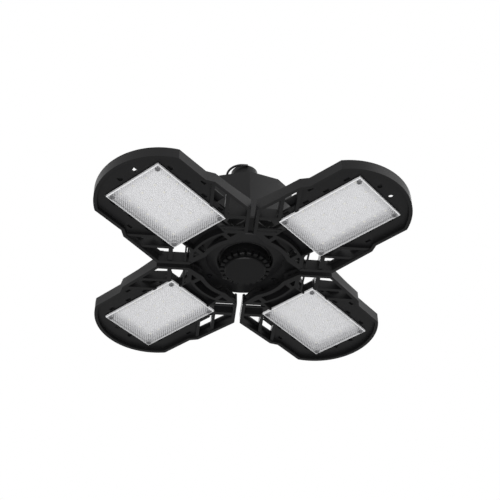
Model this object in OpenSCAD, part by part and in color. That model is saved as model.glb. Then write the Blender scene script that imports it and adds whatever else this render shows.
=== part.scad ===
// Foldable hanging light: four lamp leaves hinged round an upright hub.
// +Z is up and the origin is the middle of the neck's top face, where the hanging loop lies.
// Heights below are counted upward from the plane of the lens faces, which look down.

/* [Lens] */
// Length of a lens plate along its leaf
lens_l = 83.6; // [70:0.2:86]
// Width of a lens plate
lens_w = 58.5; // [50:0.5:60]
// Thickness of a lens plate
lens_t = 2.4; // [1.6:0.1:3.2]
// Distance from the hub's axis to the lens's inner edge
lens_r = 61.4; // [60.5:0.1:64]
// Distance of a lens screw from the two edges of its corner
screw_in = 3.6; // [3.4:0.1:5]
// Diameter of a lens screw's head
screw_head_d = 4.2; // [3.6:0.1:4.8]

/* [Leaf frame] */
// Distance from the hub's axis to a leaf's tip
leaf_r = 165.5; // [160:0.5:176]
// Half width of a leaf at its mitre corner
side_w = 53.7; // [51:0.1:54]
// Half width of a leaf at its shoulder
shoulder_w = 47.4; // [44:0.2:49]
// Distance from the hub's axis to the shoulder, where the end arc starts
shoulder_r = 140; // [134:1:146]
// Distance from the hub's axis to the outer end of the step in the side
step_r = 108; // [104:1:118]
// Gap between two neighbouring leaves
seam = 5; // [4:0.5:7]
// Radius of the round inner end of a leaf
inner_r = 38.5; // [37:0.5:40]
// Thickness of the outer walls
wall = 3; // [2.2:0.1:3.4]
// Thickness of the ribs
rib = 3; // [2:0.1:3.4]
// How far the front rims stand below the lens faces
rim = 0.4; // [0.2:0.1:2]
// Height of the back edge of the side walls
side_h = 9.5; // [8.5:0.1:10]
// Height of the back edge of the mitre walls
mitre_h = 11; // [10.5:0.1:11.5]
// Thickness of the ladder at the inner end
ladder_h = 3; // [2:0.5:5]

/* [Lamp tray] */
// Thickness of the tray's walls
tray_wall = 1.8; // [1.4:0.1:2.4]
// Height of the tray's back face
tray_h = 10; // [9:0.5:11]
// Thickness of the tray's back
tray_back = 1.6; // [1.2:0.1:2.4]
// Thickness of a circuit board
board_t = 1.6; // [1:0.1:2]
// Thickness of a solar panel
panel_t = 2; // [1.5:0.1:2.5]

/* [Hinges] */
// Radius of the hinge barrels
barrel_r = 4.2; // [3.6:0.1:4.6]
// Diameter of the hinge pins
pin_d = 4; // [3:0.1:4.4]
// Half length of the hub's barrel
barrel_half = 14; // [12:0.5:14.5]
// Length of each knuckle of a leaf
knuckle_l = 6.7; // [5:0.1:7]
// Height of the hinge axes
hinge_z = 15; // [14:0.1:16]

/* [Hub] */
// Distance from the axis to the hub's flat faces
hub_flat = 47.2; // [46:0.1:48]
// Distance from the axis to the ridges at the hub's foot
ridge_foot = 50; // [49.2:0.1:52]
// Distance from the axis to the ridges under the roof
ridge_top = 47.8; // [47:0.1:50]
// Thickness of the hub's walls
hub_wall = 2.4; // [2:0.1:3]
// Height of the hub base's lower face
base_z = 14.5; // [14:0.1:15]
// Thickness of the hub base
base_t = 3; // [2.5:0.1:3.5]
// Height of the eaves, where the roof starts
eaves_z = 75; // [74:0.5:80]
// Height of the roof's flat top
roof_z = 96.5; // [94:0.5:99]
// Distance from the axis to the base screws
base_screw_r = 42; // [41:0.1:42.4]
// Radius of the outer edge of the collar ring
collar_r = 34; // [31:0.5:36]

/* [Battery cap] */
// Radius of the cap's round face
face_r = 18.2; // [16:0.1:19]
// Radius of the cap's grip
grip_r = 22.2; // [21.6:0.1:22.4]
// How far the cap's face stands below the lens faces
face_drop = 2.4; // [1:0.1:2.5]
// Number of notches round the grip
notches = 22; // [12:1:30]
// Turn of the cap between shut and open, in degrees
cap_turn = 45; // [30:1:60]

/* [Batteries and board] */
// Diameter of a battery cell
cell_d = 18.4; // [18:0.1:18.6]
// Length of a battery cell
cell_l = 65; // [60:0.5:66]
// Radius of the control board
control_r = 33; // [31:0.5:34]

/* [Neck and loop] */
// Height of the neck's top face
neck_z = 119; // [112:0.5:124]
// Radius of the neck
neck_r = 12.8; // [12:0.1:13]
// Diameter of the loop's wire
wire_d = 2.2; // [1.8:0.1:2.6]
// Radius of the loop's bend, at the middle of the wire
loop_r = 14.5; // [14.3:0.1:16]
// How far the loop's bend lies off the hub's axis
loop_shift = 2.1; // [1:0.1:4]

/* [Switch button] */
// Radius of the switch button
button_r = 6; // [5:0.1:6.5]
// Travel of the switch button
button_travel = 1.2; // [0.8:0.1:1.5]
// Distance from the axis to the switch button
button_at = 28; // [27:0.5:29]

/* [Clearances] */
// Radial clearance of a part that turns or slides in a bore
running = 0.06; // [0.03:0.01:0.1]
// Gap between two pieces that move past each other
free_gap = 0.3; // [0.2:0.05:0.4]

/* [Hidden] */

smooth = 96;
small = 32;
eps = 0.01;
black = [0.10, 0.10, 0.11];
steel = [0.62, 0.63, 0.65];
brass = [0.78, 0.62, 0.32];
green = [0.10, 0.32, 0.18];

// the mitre between two leaves: a point of it has r - |t| = mitre
mitre = seam / sqrt(2);
mitre_in_w = 33.3;
mitre_in_r = mitre_in_w + mitre;
corner_r = side_w + mitre;
step_l = 7;
step_in_r = step_r - step_l;
step_in_w = side_w - 1.7;
inner_w = 17;
inner_line = sqrt(inner_r * inner_r - inner_w * inner_w) + 1;
tip_rise = leaf_r - shoulder_r;
tip_arc = (tip_rise * tip_rise + shoulder_w * shoulder_w) / (2 * tip_rise);
tip_c = leaf_r - tip_arc;
far_r = leaf_r + 20;
taper_in = corner_r + 2;
taper_out = corner_r + 24;
ledge_w = 2.6;
ledge_t = 1.6;
ledge_top = side_h - 0.3;

// lengths along and across the leaf, from its middle line; a slanting line has r + |t| = its sum
lens_half = lens_w / 2;
lens_end = lens_r + lens_l;
flange_w = 5.2;
rib_z = 0.5;
rib_c_r = lens_r + 18.6;
cross_sum = lens_r + lens_half + 3.8;
cross_l = 16.5;
cross_w = rib + 0.8;
floor_z = 3.2;
floor_t = 1.8;
drip_at = [lens_end + 5, 8];
vent_at = [step_r - 4, shoulder_w - 5.7];
vent_size = [5, 2.4];

// inner ladder of a leaf, and the bridge behind it that carries the knuckles
rung_in = 4;
slot_w = 7.3;
outer_rail = 2.4;
rail_r = inner_r + rung_in + slot_w;
rail_out = rail_r + outer_rail;
slot_half = 14;
rung_end = slot_half + 3.8;
web_in = rung_end + 0.5;
web_t = 1.5;
window_r = 41.2;
bar_in_sum = 66;
bar_out_sum = 71.3;
rod_sum = 75.9;
rod_w = 1.6;
rod_t = 1.5;
bridge_z = 9;
bridge_t = 1.8;

// lamp tray
pocket_z = lens_t;
led_z = tray_h - tray_back - board_t;
boss_r = 2.9;
pilot_r = 1.1;
screw_x = [lens_r + screw_in, lens_end - screw_in];
screw_y = [-lens_half + screw_in, lens_half - screw_in];
led_rows = 4;
led_cols = 7;
led_size = [3.5, 2.8];
led_h = 0.8;
board_gap = 0.6;

// hinges
hinge_r = hub_flat + barrel_r + free_gap;
pin_r = pin_d / 2;
pin_fit = 0.02;
knuckle_in = barrel_half + free_gap;
pin_half = knuckle_in + knuckle_l;
bridge_half = pin_half + 0.5;
bridge_out = lens_r + tray_wall / 2;

// hub
flat_a = 11.5;
flat_r = hub_flat / cos(flat_a);
base_top = base_z + base_t;
roof_r = 17;
screw_pilot = 1.5;
screw_shank = 1.45;
screw_boss = 3.4;
screw_l = 12;
base_head_r = 2.6;
base_head_h = 1.4;
collar_in = 24.5;
collar_low = 5;
collar_step = 2.5;

// cap and its socket
socket_r = 22.3;
socket_wall = 3.4;
socket_top = 28;
grip_h = 6;
skirt_r = socket_r - free_gap;
skirt_in = 20.2;
skirt_top = 21;
notch_w = 2.3;
notch_in = face_r + 0.4;
lug_h = 2;
lug_z = 16.8;
lug_a = 14;
lug_out = 1.2;
lug_count = 3;
seal_wire = 0.9;
seal_z = 13;
seal_r = socket_r - seal_wire - 0.05;
contact_t = 0.8;
contact_r = 17;

// batteries, tray and board
cell_r = cell_d / 2;
cell_z = grip_h + contact_t + free_gap;
cell_gap = 0.6;
cell_at = cell_r + cell_gap / 2;
cell_bore = cell_r + 0.15;
tray_r = 2 * cell_r + 0.9;
tray_low = cell_z + 2;
tray_top = cell_z + cell_l + 1.5;
flange_r = socket_r + socket_wall + 3;
flange_t = 3;
post_r = 3;
post_at = 26;
post_a = [30, 150, 270];
shelf_t = 2.4;
post_h = 2;
shelf_r = post_at + post_r + 1;
board_z = tray_top + shelf_t + post_h;
board_screw_r = 1.2;
board_head_r = 2.2;
board_head_h = 1.3;

// switch button: it stands on the side of the hub that turns away from the light's front
button_a = 135;
button_foot = 1.2;
button_foot_t = 1.5;
switch_h = 3.6;
switch_top = board_z + board_t + switch_h;
button_low = switch_top + button_travel + free_gap;
boss_top = 93;
button_top = boss_top + 1.6;
boss_wall = 2.2;
boss_out = button_r + button_foot + free_gap + boss_wall;

// neck and loop
neck_foot_r = 16;
neck_foot_t = 2.5;
wire_r = wire_d / 2;
loop_z = neck_z - 2.8;
pivot_x = 1.2;
pivot_depth = 5;
loop_a = 225;

// puts what is drawn from the lens plane upward into the part's own frame
module in_frame() {
    translate([0, 0, -neck_z]) children();
}

// turns leaf number k into its direction
module at_leaf(k) {
    in_frame() rotate(90 * (k - 1)) children();
}

module mirrored() {
    children();
    mirror([0, 1, 0]) children();
}

function unit(v) = v / norm(v);
function left_of(a, b) = let (u = unit(b - a)) [-u[1], u[0]];
function inset_point(a, p, b, d) =
    let (m = left_of(a, p), n = left_of(p, b)) p + d * (m + n) / (1 + m * n);
function inset_path(path, d) =
    let (n = len(path))
    [for (i = [0 : n - 1]) inset_point(path[(i + n - 1) % n], path[i], path[(i + 1) % n], d)];

leaf_half = [
    [mitre_in_r, -mitre_in_w],
    [corner_r, -side_w],
    [step_in_r, -step_in_w],
    [step_r, -shoulder_w - 0.4],
    [far_r, -shoulder_w + 0.4]
];
leaf_path = concat(
    [[inner_line, -inner_w]],
    leaf_half,
    [for (i = [len(leaf_half) - 1 : -1 : 0]) [leaf_half[i][0], -leaf_half[i][1]]],
    [[inner_line, inner_w]]
);

// outline of a leaf seen from below, drawn in by d all round
module leaf_outline(d = 0) {
    difference() {
        intersection() {
            polygon(inset_path(leaf_path, d));
            union() {
                translate([tip_c, 0]) circle(r = tip_arc - d, $fn = 2 * smooth);
                translate([0, -far_r]) square([tip_c, 2 * far_r]);
            }
        }
        circle(r = inner_r + d, $fn = 2 * smooth);
    }
}

// straight rib from a to b
module bar(a, b, w) {
    n = left_of(a, b) * w / 2;
    polygon([a + n, b + n, b - n, a - n]);
}

module tray_plan(d = 0) {
    translate([lens_r + d, -lens_half + d]) square([lens_l - 2 * d, lens_w - 2 * d]);
}

// ribs between the tray and the outer walls: one along the mitre, one across it and one further out
module diagonal_ribs() {
    run = side_w - lens_half;
    start = [(cross_sum + lens_r - lens_half) / 2, (cross_sum - lens_r + lens_half) / 2];
    mirrored() {
        bar([lens_r, lens_half], [lens_r + run, lens_half + run], rib);
        bar([rib_c_r, lens_half], [rib_c_r + run, lens_half + run], rib);
        bar(start, start + cross_l * [-1, 1], cross_w);
    }
}

// back edge of the walls, as a side view along the leaf
module wall_profile() {
    polygon([
        [0, -rim], [0, mitre_h], [taper_in, mitre_h], [taper_out, side_h],
        [far_r, side_h], [far_r, -rim]
    ]);
}

module upright(half) {
    rotate([90, 0, 0]) linear_extrude(height = 2 * half, center = true) children();
}

// outer walls, the ribs inside them and the ledge along the back edge of the side walls
module leaf_walls() {
    end_half = mitre_in_w - 2;
    intersection() {
        union() {
            translate([0, 0, -rim]) linear_extrude(height = mitre_h + rim) difference() {
                leaf_outline();
                leaf_outline(wall);
                translate([0, -end_half]) square([rail_r, 2 * end_half]);
            }
            translate([0, 0, rib_z]) linear_extrude(height = mitre_h - rib_z) intersection() {
                leaf_outline(wall / 2);
                difference() {
                    diagonal_ribs();
                    tray_plan(tray_wall / 2);
                }
            }
            translate([0, 0, ledge_top - ledge_t]) linear_extrude(height = ledge_t) intersection() {
                difference() {
                    leaf_outline(wall / 2);
                    leaf_outline(wall + ledge_w);
                }
                mirrored() translate([corner_r, lens_half]) square([step_in_r - corner_r, side_w]);
            }
        }
        upright(far_r) wall_profile();
    }
}

// curved inner rail, its rungs and the slanting bars beside them
module ladder_plan() {
    intersection() {
        leaf_outline();
        difference() {
            union() {
                intersection() {
                    circle(r = rail_r + 1.2, $fn = 2 * smooth);
                    translate([0, -web_in]) square([far_r, 2 * web_in]);
                }
                mirrored() polygon([
                    [0, rung_end], [bar_out_sum - rung_end, rung_end], [0, bar_out_sum]
                ]);
            }
            intersection() {
                difference() {
                    circle(r = rail_r + 0.6, $fn = 2 * smooth);
                    circle(r = inner_r + rung_in, $fn = 2 * smooth);
                }
                translate([0, -slot_half]) square([far_r, 2 * slot_half]);
            }
            mirrored() polygon([
                [window_r, rung_end], [bar_in_sum - rung_end, rung_end],
                [window_r, bar_in_sum - window_r]
            ]);
        }
    }
}

module leaf_ladder() {
    rail_half = web_in + web_t / 2;
    linear_extrude(height = ladder_h) ladder_plan();
    linear_extrude(height = bridge_z) intersection() {
        difference() {
            circle(r = rail_out, $fn = 2 * smooth);
            circle(r = rail_r, $fn = 2 * smooth);
        }
        translate([0, -rail_half]) square([far_r, 2 * rail_half]);
    }
    mirrored() {
        translate([rail_r - 2, web_in, 0]) cube([bridge_out - rail_r + 2, web_t, bridge_z]);
        linear_extrude(height = rod_t)
            bar([rod_sum - web_in - 1, web_in + 1], [rod_sum - mitre_in_w - 1, mitre_in_w + 1], rod_w);
    }
    translate([0, 0, bridge_z - bridge_t]) linear_extrude(height = bridge_t) difference() {
        translate([inner_r, -bridge_half]) square([bridge_out - inner_r, 2 * bridge_half]);
        circle(r = rail_r + 1, $fn = 2 * smooth);
    }
}

// seat of the lens: the frame stays clear of its edges
module lens_recess() {
    translate([0, 0, -rim - 1]) linear_extrude(height = rim + 1 + lens_t) tray_plan(-free_gap / 2);
}

// sunken floor of the channels beside and beyond the tray, with its slots and drain holes
module leaf_floor() {
    translate([0, 0, floor_z]) linear_extrude(height = floor_t) difference() {
        intersection() {
            leaf_outline(wall / 2);
            union() {
                translate([lens_r + 1, -lens_half - flange_w])
                    square([far_r, lens_w + 2 * flange_w]);
                mirrored() polygon([
                    [rib_c_r, lens_half], [rib_c_r + side_w - lens_half, side_w],
                    [far_r, side_w], [far_r, lens_half]
                ]);
                translate([lens_end - 1, -side_w]) square([far_r, 2 * side_w]);
            }
        }
        tray_plan(tray_wall / 2);
        mirrored() {
            for (i = [0 : 3])
                translate([lens_r + 7 + i * lens_l / 4, lens_half + 1.5]) square([5.5, 2.6]);
            translate(vent_at) square(vent_size, center = true);
            translate(drip_at) rotate(35) drop_hole(2.1, 3.4);
        }
    }
}

// teardrop hole
module drop_hole(r, l) {
    circle(r = r, $fn = small);
    polygon([[0, r], [l, 0], [0, -r]]);
}

module lamp_tray() {
    difference() {
        translate([0, 0, pocket_z]) linear_extrude(height = tray_h - pocket_z) tray_plan();
        difference() {
            translate([0, 0, pocket_z - 1])
                linear_extrude(height = tray_h - tray_back - pocket_z + 1) tray_plan(tray_wall);
            for (x = screw_x, y = screw_y)
                translate([x, y, 0]) cylinder(r = boss_r, h = tray_h, $fn = small);
        }
        for (x = screw_x, y = screw_y)
            translate([x, y, pocket_z - 1]) cylinder(r = pilot_r, h = 6.4, $fn = small);
    }
}

// arm and barrel that carry the leaf on its pin
module knuckle() {
    foot_z = bridge_z - bridge_t / 2;
    side = barrel_r - 0.4;
    translate([0, knuckle_in + knuckle_l, 0]) rotate([90, 0, 0]) {
        translate([hinge_r, hinge_z]) cylinder(r = barrel_r, h = knuckle_l, $fn = smooth);
        linear_extrude(height = knuckle_l) polygon([
            [rail_r + 0.6, foot_z], [bridge_out - 2, foot_z],
            [hinge_r + side, hinge_z], [hinge_r - side, hinge_z]
        ]);
    }
}

module leaf_frame(k) {
    color(black) at_leaf(k) difference() {
        union() {
            leaf_walls();
            leaf_ladder();
            leaf_floor();
            lamp_tray();
            mirrored() knuckle();
        }
        lens_recess();
        translate([hinge_r, 0, hinge_z]) rotate([90, 0, 0])
            cylinder(r = pin_r + pin_fit, h = 2 * pin_half + 2, center = true, $fn = smooth);
    }
}

module lens(k) {
    edge = 0.6;
    color([0.86, 0.87, 0.86, 0.8]) at_leaf(k) difference() {
        union() {
            translate([0, 0, edge]) linear_extrude(height = lens_t - edge) tray_plan();
            linear_extrude(height = edge + eps) tray_plan(edge);
        }
        for (x = screw_x, y = screw_y) translate([x, y, -1]) {
            cylinder(r = pilot_r + running, h = lens_t + 2, $fn = small);
            cylinder(r = screw_head_d / 2 + running, h = 1.8, $fn = small);
        }
    }
}

module lens_screws(k) {
    head_h = 1.4;
    head_z = -head_h + 0.8;
    screw_h = 7.4;
    color(steel) at_leaf(k) for (x = screw_x, y = screw_y) translate([x, y, head_z]) difference() {
        union() {
            cylinder(r = screw_head_d / 2, h = head_h, $fn = small);
            cylinder(r = pilot_r - 0.02, h = screw_h, $fn = small);
        }
        translate([0, 0, -1]) cylinder(r = screw_head_d / 4, h = 1.7, $fn = 6);
    }
}

module led_board(k) {
    in = tray_wall + board_gap;
    notch = screw_in + boss_r + board_gap;
    pitch = [(lens_l - 2 * notch - 4) / (led_cols - 1), (lens_w - 2 * in - 10) / (led_rows - 1)];
    start = [lens_r + notch + 2, -lens_half + in + 5];
    color([0.92, 0.93, 0.92]) at_leaf(k) {
        translate([0, 0, led_z]) linear_extrude(height = board_t) difference() {
            tray_plan(in);
            for (x = [lens_r, lens_end - notch], y = [-lens_half, lens_half - notch])
                translate([x, y]) square(notch);
        }
        translate([0, 0, led_z - led_h]) linear_extrude(height = led_h + eps)
            for (i = [0 : led_cols - 1], j = [0 : led_rows - 1])
                translate([start[0] + i * pitch[0], start[1] + j * pitch[1]])
                    square(led_size, center = true);
    }
}

module solar_panel(k) {
    groove = 0.8;
    groove_z = tray_h + panel_t - 0.3;
    color([0.07, 0.09, 0.2]) at_leaf(k) difference() {
        translate([0, 0, tray_h]) linear_extrude(height = panel_t) tray_plan(1);
        for (i = [1 : 3])
            translate([lens_r + i * lens_l / 4 - groove / 2, -lens_half, groove_z])
                cube([groove, lens_w, 1]);
        translate([lens_r, -groove / 2, groove_z]) cube([lens_l, groove, 1]);
    }
}

module hinge_pin(k) {
    color(steel) at_leaf(k) translate([hinge_r, 0, hinge_z]) rotate([90, 0, 0])
        cylinder(r = pin_r, h = 2 * pin_half, center = true, $fn = smooth);
}

// twelve-sided outline of the hub: a flat towards each leaf and a ridge between two leaves
module hub_outline(ridge, d = 0) {
    r = flat_r - d / cos(flat_a);
    polygon([for (k = [0 : 3]) each [
        for (p = [[flat_a, r], [45, ridge - d], [90 - flat_a, r]])
            p[1] * [cos(90 * k + p[0]), sin(90 * k + p[0])]
    ]]);
}

module hub_shape(d, low) {
    hull() {
        translate([0, 0, low]) linear_extrude(height = eps) hub_outline(ridge_foot, d);
        translate([0, 0, eaves_z - eps - d / 3]) linear_extrude(height = eps)
            hub_outline(ridge_top, d);
        translate([0, 0, roof_z - 1 - d]) cylinder(r = roof_r - d / 2, h = 1, $fn = small);
    }
}

module hub_housing() {
    color(black) in_frame() difference() {
        union() {
            difference() {
                union() {
                    hub_shape(0, base_top);
                    rotate(button_a) translate([button_at, 0, eaves_z])
                        cylinder(r = boss_out, h = boss_top - eaves_z, $fn = smooth);
                }
                hub_shape(hub_wall, base_top - 1);
            }
            for (k = [0 : 3]) rotate(90 * k) translate([base_screw_r, 0, base_top])
                cylinder(r = screw_boss, h = screw_l + 2, $fn = smooth);
        }
        for (k = [0 : 3]) rotate(90 * k) translate([base_screw_r, 0, base_top - 1])
            cylinder(r = screw_pilot, h = screw_l, $fn = small);
        rotate(button_a) translate([button_at, 0, 0]) {
            translate([0, 0, eaves_z - 5])
                cylinder(r = button_r + running, h = boss_top - eaves_z + 10, $fn = smooth);
            translate([0, 0, eaves_z - 5]) cylinder(
                r = button_r + button_foot + free_gap,
                h = button_low + button_foot_t + free_gap - eaves_z + 5, $fn = smooth);
        }
    }
}

// one slot of the bayonet: a way in from below and a run sideways above it
module bayonet_slot() {
    run = lug_out + free_gap + 1;
    way_in = run - free_gap / 2;
    side = 1;
    rotate(-lug_a / 2 - side) rotate_extrude(angle = cap_turn + lug_a + 2 * side, $fn = smooth)
        translate([socket_r - 1, lug_z - free_gap]) square([run, lug_h + 2 * free_gap]);
    rotate(cap_turn - lug_a / 2 - side / 2) rotate_extrude(angle = lug_a + side, $fn = smooth)
        translate([socket_r - 1, base_z - 1]) square([way_in, lug_z + lug_h / 2 - base_z + 1]);
}

module hub_base() {
    color(black) in_frame() difference() {
        union() {
            translate([0, 0, base_z]) linear_extrude(height = base_t) hub_outline(ridge_foot);
            translate([0, 0, base_z])
                cylinder(r = socket_r + socket_wall, h = socket_top - base_z, $fn = smooth);
            for (k = [0 : 3]) rotate(90 * k) {
                translate([hub_flat - 1, -barrel_half, base_z])
                    cube([barrel_r + free_gap + 1, 2 * barrel_half, base_t]);
                translate([hinge_r, 0, hinge_z]) rotate([90, 0, 0])
                    cylinder(r = barrel_r, h = 2 * barrel_half, center = true, $fn = smooth);
            }
        }
        translate([0, 0, base_z - 1])
            cylinder(r = socket_r, h = socket_top - base_z + 2, $fn = smooth);
        for (i = [0 : lug_count - 1]) rotate(360 / lug_count * i) bayonet_slot();
        for (k = [0 : 3]) rotate(90 * k) {
            translate([base_screw_r, 0, base_z - 1])
                cylinder(r = screw_pilot + 0.1, h = base_t + 2, $fn = small);
            translate([hinge_r, 0, hinge_z]) rotate([90, 0, 0])
                cylinder(r = pin_r + running, h = 2 * barrel_half + 2, center = true, $fn = smooth);
        }
    }
}

module base_screws() {
    color(steel) in_frame() for (k = [0 : 3]) rotate(90 * k)
        translate([base_screw_r, 0, base_z]) difference() {
            union() {
                translate([0, 0, -base_head_h])
                    cylinder(r = base_head_r, h = base_head_h, $fn = small);
                translate([0, 0, -eps]) cylinder(r = screw_shank, h = screw_l, $fn = small);
            }
            for (a = [0, 90]) rotate(a) translate([0, 0, -base_head_h])
                cube([3.2, 0.8, 1.4], center = true);
        }
}

module collar_ring() {
    low = base_z - collar_low;
    color(black) in_frame() rotate_extrude($fn = 2 * smooth) polygon([
        [collar_in, low + 0.6], [collar_in + 0.6, low], [collar_in + 2, low],
        [collar_r, low + collar_step], [collar_r + 0.8, low + collar_step + 1],
        [collar_r + 0.8, base_z], [collar_in, base_z]
    ]);
}

module battery_cap() {
    soft = 0.8;
    color(black) in_frame() difference() {
        union() {
            rotate_extrude($fn = 2 * smooth) polygon([
                [0, -face_drop], [face_r - soft, -face_drop], [face_r, -face_drop + soft],
                [face_r, 0], [grip_r - soft / 2, 0], [grip_r, soft / 2], [grip_r, grip_h],
                [skirt_r, grip_h], [skirt_r, skirt_top], [skirt_in, skirt_top],
                [skirt_in, grip_h], [0, grip_h]
            ]);
            for (i = [0 : lug_count - 1]) rotate(360 / lug_count * i - lug_a / 2)
                rotate_extrude(angle = lug_a, $fn = smooth)
                    translate([skirt_in + 0.5, lug_z])
                        square([socket_r + lug_out - skirt_in - 0.5, lug_h]);
        }
        for (i = [0 : notches - 1]) rotate(360 / notches * i)
            translate([notch_in, -notch_w / 2, -1]) cube([grip_r, notch_w, grip_h]);
        translate([0, 0, seal_z]) rotate_extrude($fn = 2 * smooth)
            translate([seal_r - seal_wire, -seal_wire]) square([4, 2 * seal_wire]);
    }
}

module cap_seal() {
    color([0.05, 0.05, 0.05]) in_frame() translate([0, 0, seal_z])
        rotate_extrude($fn = 2 * smooth) translate([seal_r, 0]) circle(r = seal_wire, $fn = small);
}

module cap_contact() {
    color(brass) in_frame() translate([0, 0, grip_h]) difference() {
        cylinder(r = contact_r, h = contact_t, $fn = smooth);
        translate([0, 0, -1]) cylinder(r = 3, h = contact_t + 2, $fn = small);
    }
}

// holder with a bore for each cell, hung on the socket by its flange
module battery_tray() {
    color([0.16, 0.16, 0.17]) in_frame() difference() {
        union() {
            translate([0, 0, tray_low])
                cylinder(r = tray_r, h = tray_top - tray_low, $fn = smooth);
            translate([0, 0, socket_top]) cylinder(r = flange_r, h = flange_t, $fn = smooth);
            translate([0, 0, tray_top - eps])
                cylinder(r = shelf_r, h = shelf_t + eps, $fn = smooth);
            for (a = post_a) rotate(a) translate([post_at, 0, tray_top + shelf_t])
                cylinder(r = post_r, h = post_h, $fn = small);
        }
        for (side = [-1, 1]) translate([side * cell_at, 0, tray_low - 1])
            cylinder(r = cell_bore, h = tray_top - tray_low + 1, $fn = smooth);
        for (a = post_a) rotate(a) translate([post_at, 0, tray_top - 1])
            cylinder(r = board_screw_r, h = shelf_t + post_h + 2, $fn = small);
    }
}

module battery_cells() {
    nub = 1;
    color([0.25, 0.45, 0.62]) in_frame() for (side = [-1, 1])
        translate([side * cell_at, 0, cell_z]) {
            cylinder(r = cell_r, h = cell_l - nub, $fn = smooth);
            cylinder(r = 3, h = cell_l, $fn = small);
        }
}

module control_board() {
    part_z = board_z + board_t - eps;
    chips = [[[-14, -10], [9, 9, 1.4]], [[2, -14], [11, 8, 3]]];
    cans = [[-4, 4], [6, 4]];
    can_r = 3;
    can_h = 5;
    color(green) in_frame() difference() {
        union() {
            translate([0, 0, board_z]) cylinder(r = control_r, h = board_t, $fn = smooth);
            for (c = chips) translate([c[0][0], c[0][1], part_z]) cube(c[1]);
            for (c = cans) translate([c[0], c[1], part_z]) cylinder(r = can_r, h = can_h, $fn = small);
            rotate(button_a) translate([button_at, 0, part_z + switch_h / 2])
                cube([6, 6, switch_h], center = true);
        }
        for (a = post_a) rotate(a) translate([post_at, 0, board_z - 1])
            cylinder(r = board_screw_r + 0.1, h = board_t + 2, $fn = small);
    }
}

module board_screws() {
    color(steel) in_frame() for (a = post_a) rotate(a)
        translate([post_at, 0, board_z + board_t]) {
            cylinder(r = board_head_r, h = board_head_h, $fn = small);
            translate([0, 0, -4]) cylinder(r = board_screw_r - 0.05, h = 4 + eps, $fn = small);
        }
}

module neck() {
    soft = 1;
    color(black) in_frame() difference() {
        rotate_extrude($fn = smooth) polygon([
            [0, roof_z], [neck_foot_r, roof_z], [neck_foot_r, roof_z + neck_foot_t - soft],
            [neck_foot_r - soft, roof_z + neck_foot_t], [neck_r, roof_z + neck_foot_t + soft],
            [neck_r, neck_z - soft], [neck_r - soft, neck_z], [0, neck_z]
        ]);
        rotate(loop_a) mirrored() translate([-pivot_x, neck_r + 1, loop_z]) rotate([90, 0, 0])
            cylinder(r = wire_r + running, h = pivot_depth + 1 + free_gap, $fn = small);
    }
}

// wire bail: its bend lies round the neck and its turned-in ends pivot in the neck
module hanging_loop() {
    color(steel) in_frame() translate([0, 0, loop_z]) rotate(loop_a) {
        translate([loop_shift, 0, 0]) rotate(-90) rotate_extrude(angle = 180, $fn = smooth)
            translate([loop_r, 0]) circle(r = wire_r, $fn = small);
        mirrored() {
            translate([-pivot_x, loop_r, 0]) rotate([0, 90, 0])
                cylinder(r = wire_r, h = loop_shift + pivot_x + eps, $fn = small);
            translate([-pivot_x, loop_r, 0]) sphere(r = wire_r, $fn = small);
            translate([-pivot_x, loop_r, 0]) rotate([90, 0, 0])
                cylinder(r = wire_r, h = loop_r - neck_r + pivot_depth, $fn = small);
        }
    }
}

module switch_button() {
    color([0.2, 0.2, 0.21]) in_frame() rotate(button_a) translate([button_at, 0, button_low])
        rotate_extrude($fn = smooth) polygon([
            [0, 0], [button_r + button_foot, 0], [button_r + button_foot, button_foot_t],
            [button_r, button_foot_t], [button_r, button_top - button_low - 0.6],
            [button_r - 0.6, button_top - button_low], [0, button_top - button_low]
        ]);
}

leaf_frame(1);  // leaf_frame_1
leaf_frame(2);  // leaf_frame_2
leaf_frame(3);  // leaf_frame_3
leaf_frame(4);  // leaf_frame_4
lens(1);  // lens_1
lens(2);  // lens_2
lens(3);  // lens_3
lens(4);  // lens_4
led_board(1);  // led_board_1
led_board(2);  // led_board_2
led_board(3);  // led_board_3
led_board(4);  // led_board_4
solar_panel(1);  // solar_panel_1
solar_panel(2);  // solar_panel_2
solar_panel(3);  // solar_panel_3
solar_panel(4);  // solar_panel_4
lens_screws(1);  // lens_screws_1
lens_screws(2);  // lens_screws_2
lens_screws(3);  // lens_screws_3
lens_screws(4);  // lens_screws_4
hinge_pin(1);  // hinge_pin_1
hinge_pin(2);  // hinge_pin_2
hinge_pin(3);  // hinge_pin_3
hinge_pin(4);  // hinge_pin_4
hub_housing();
hub_base();
base_screws();
collar_ring();
neck();
hanging_loop();
battery_cap();
cap_seal();
cap_contact();
battery_tray();
battery_cells();
control_board();
board_screws();
switch_button();
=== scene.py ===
"""Looks of a foldable hanging light: four ribbed lamp leaves hinged round an upright hub.

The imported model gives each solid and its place. This script gives the moulded pieces their soft
edges and grain, the lens plates their prisms, the boards their lamps and the panels their cells.
The model's frame has +Z up, with the hub on the Z axis. Sizes are in metres and angles in degrees,
except where a name or a comment says otherwise.
"""

import logging
import math
from dataclasses import dataclass, field
from enum import Enum
from typing import Optional, Union

import bmesh
import bpy
from bmesh.types import BMEdge, BMesh, BMVert
from mathutils import Matrix, Vector


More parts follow.
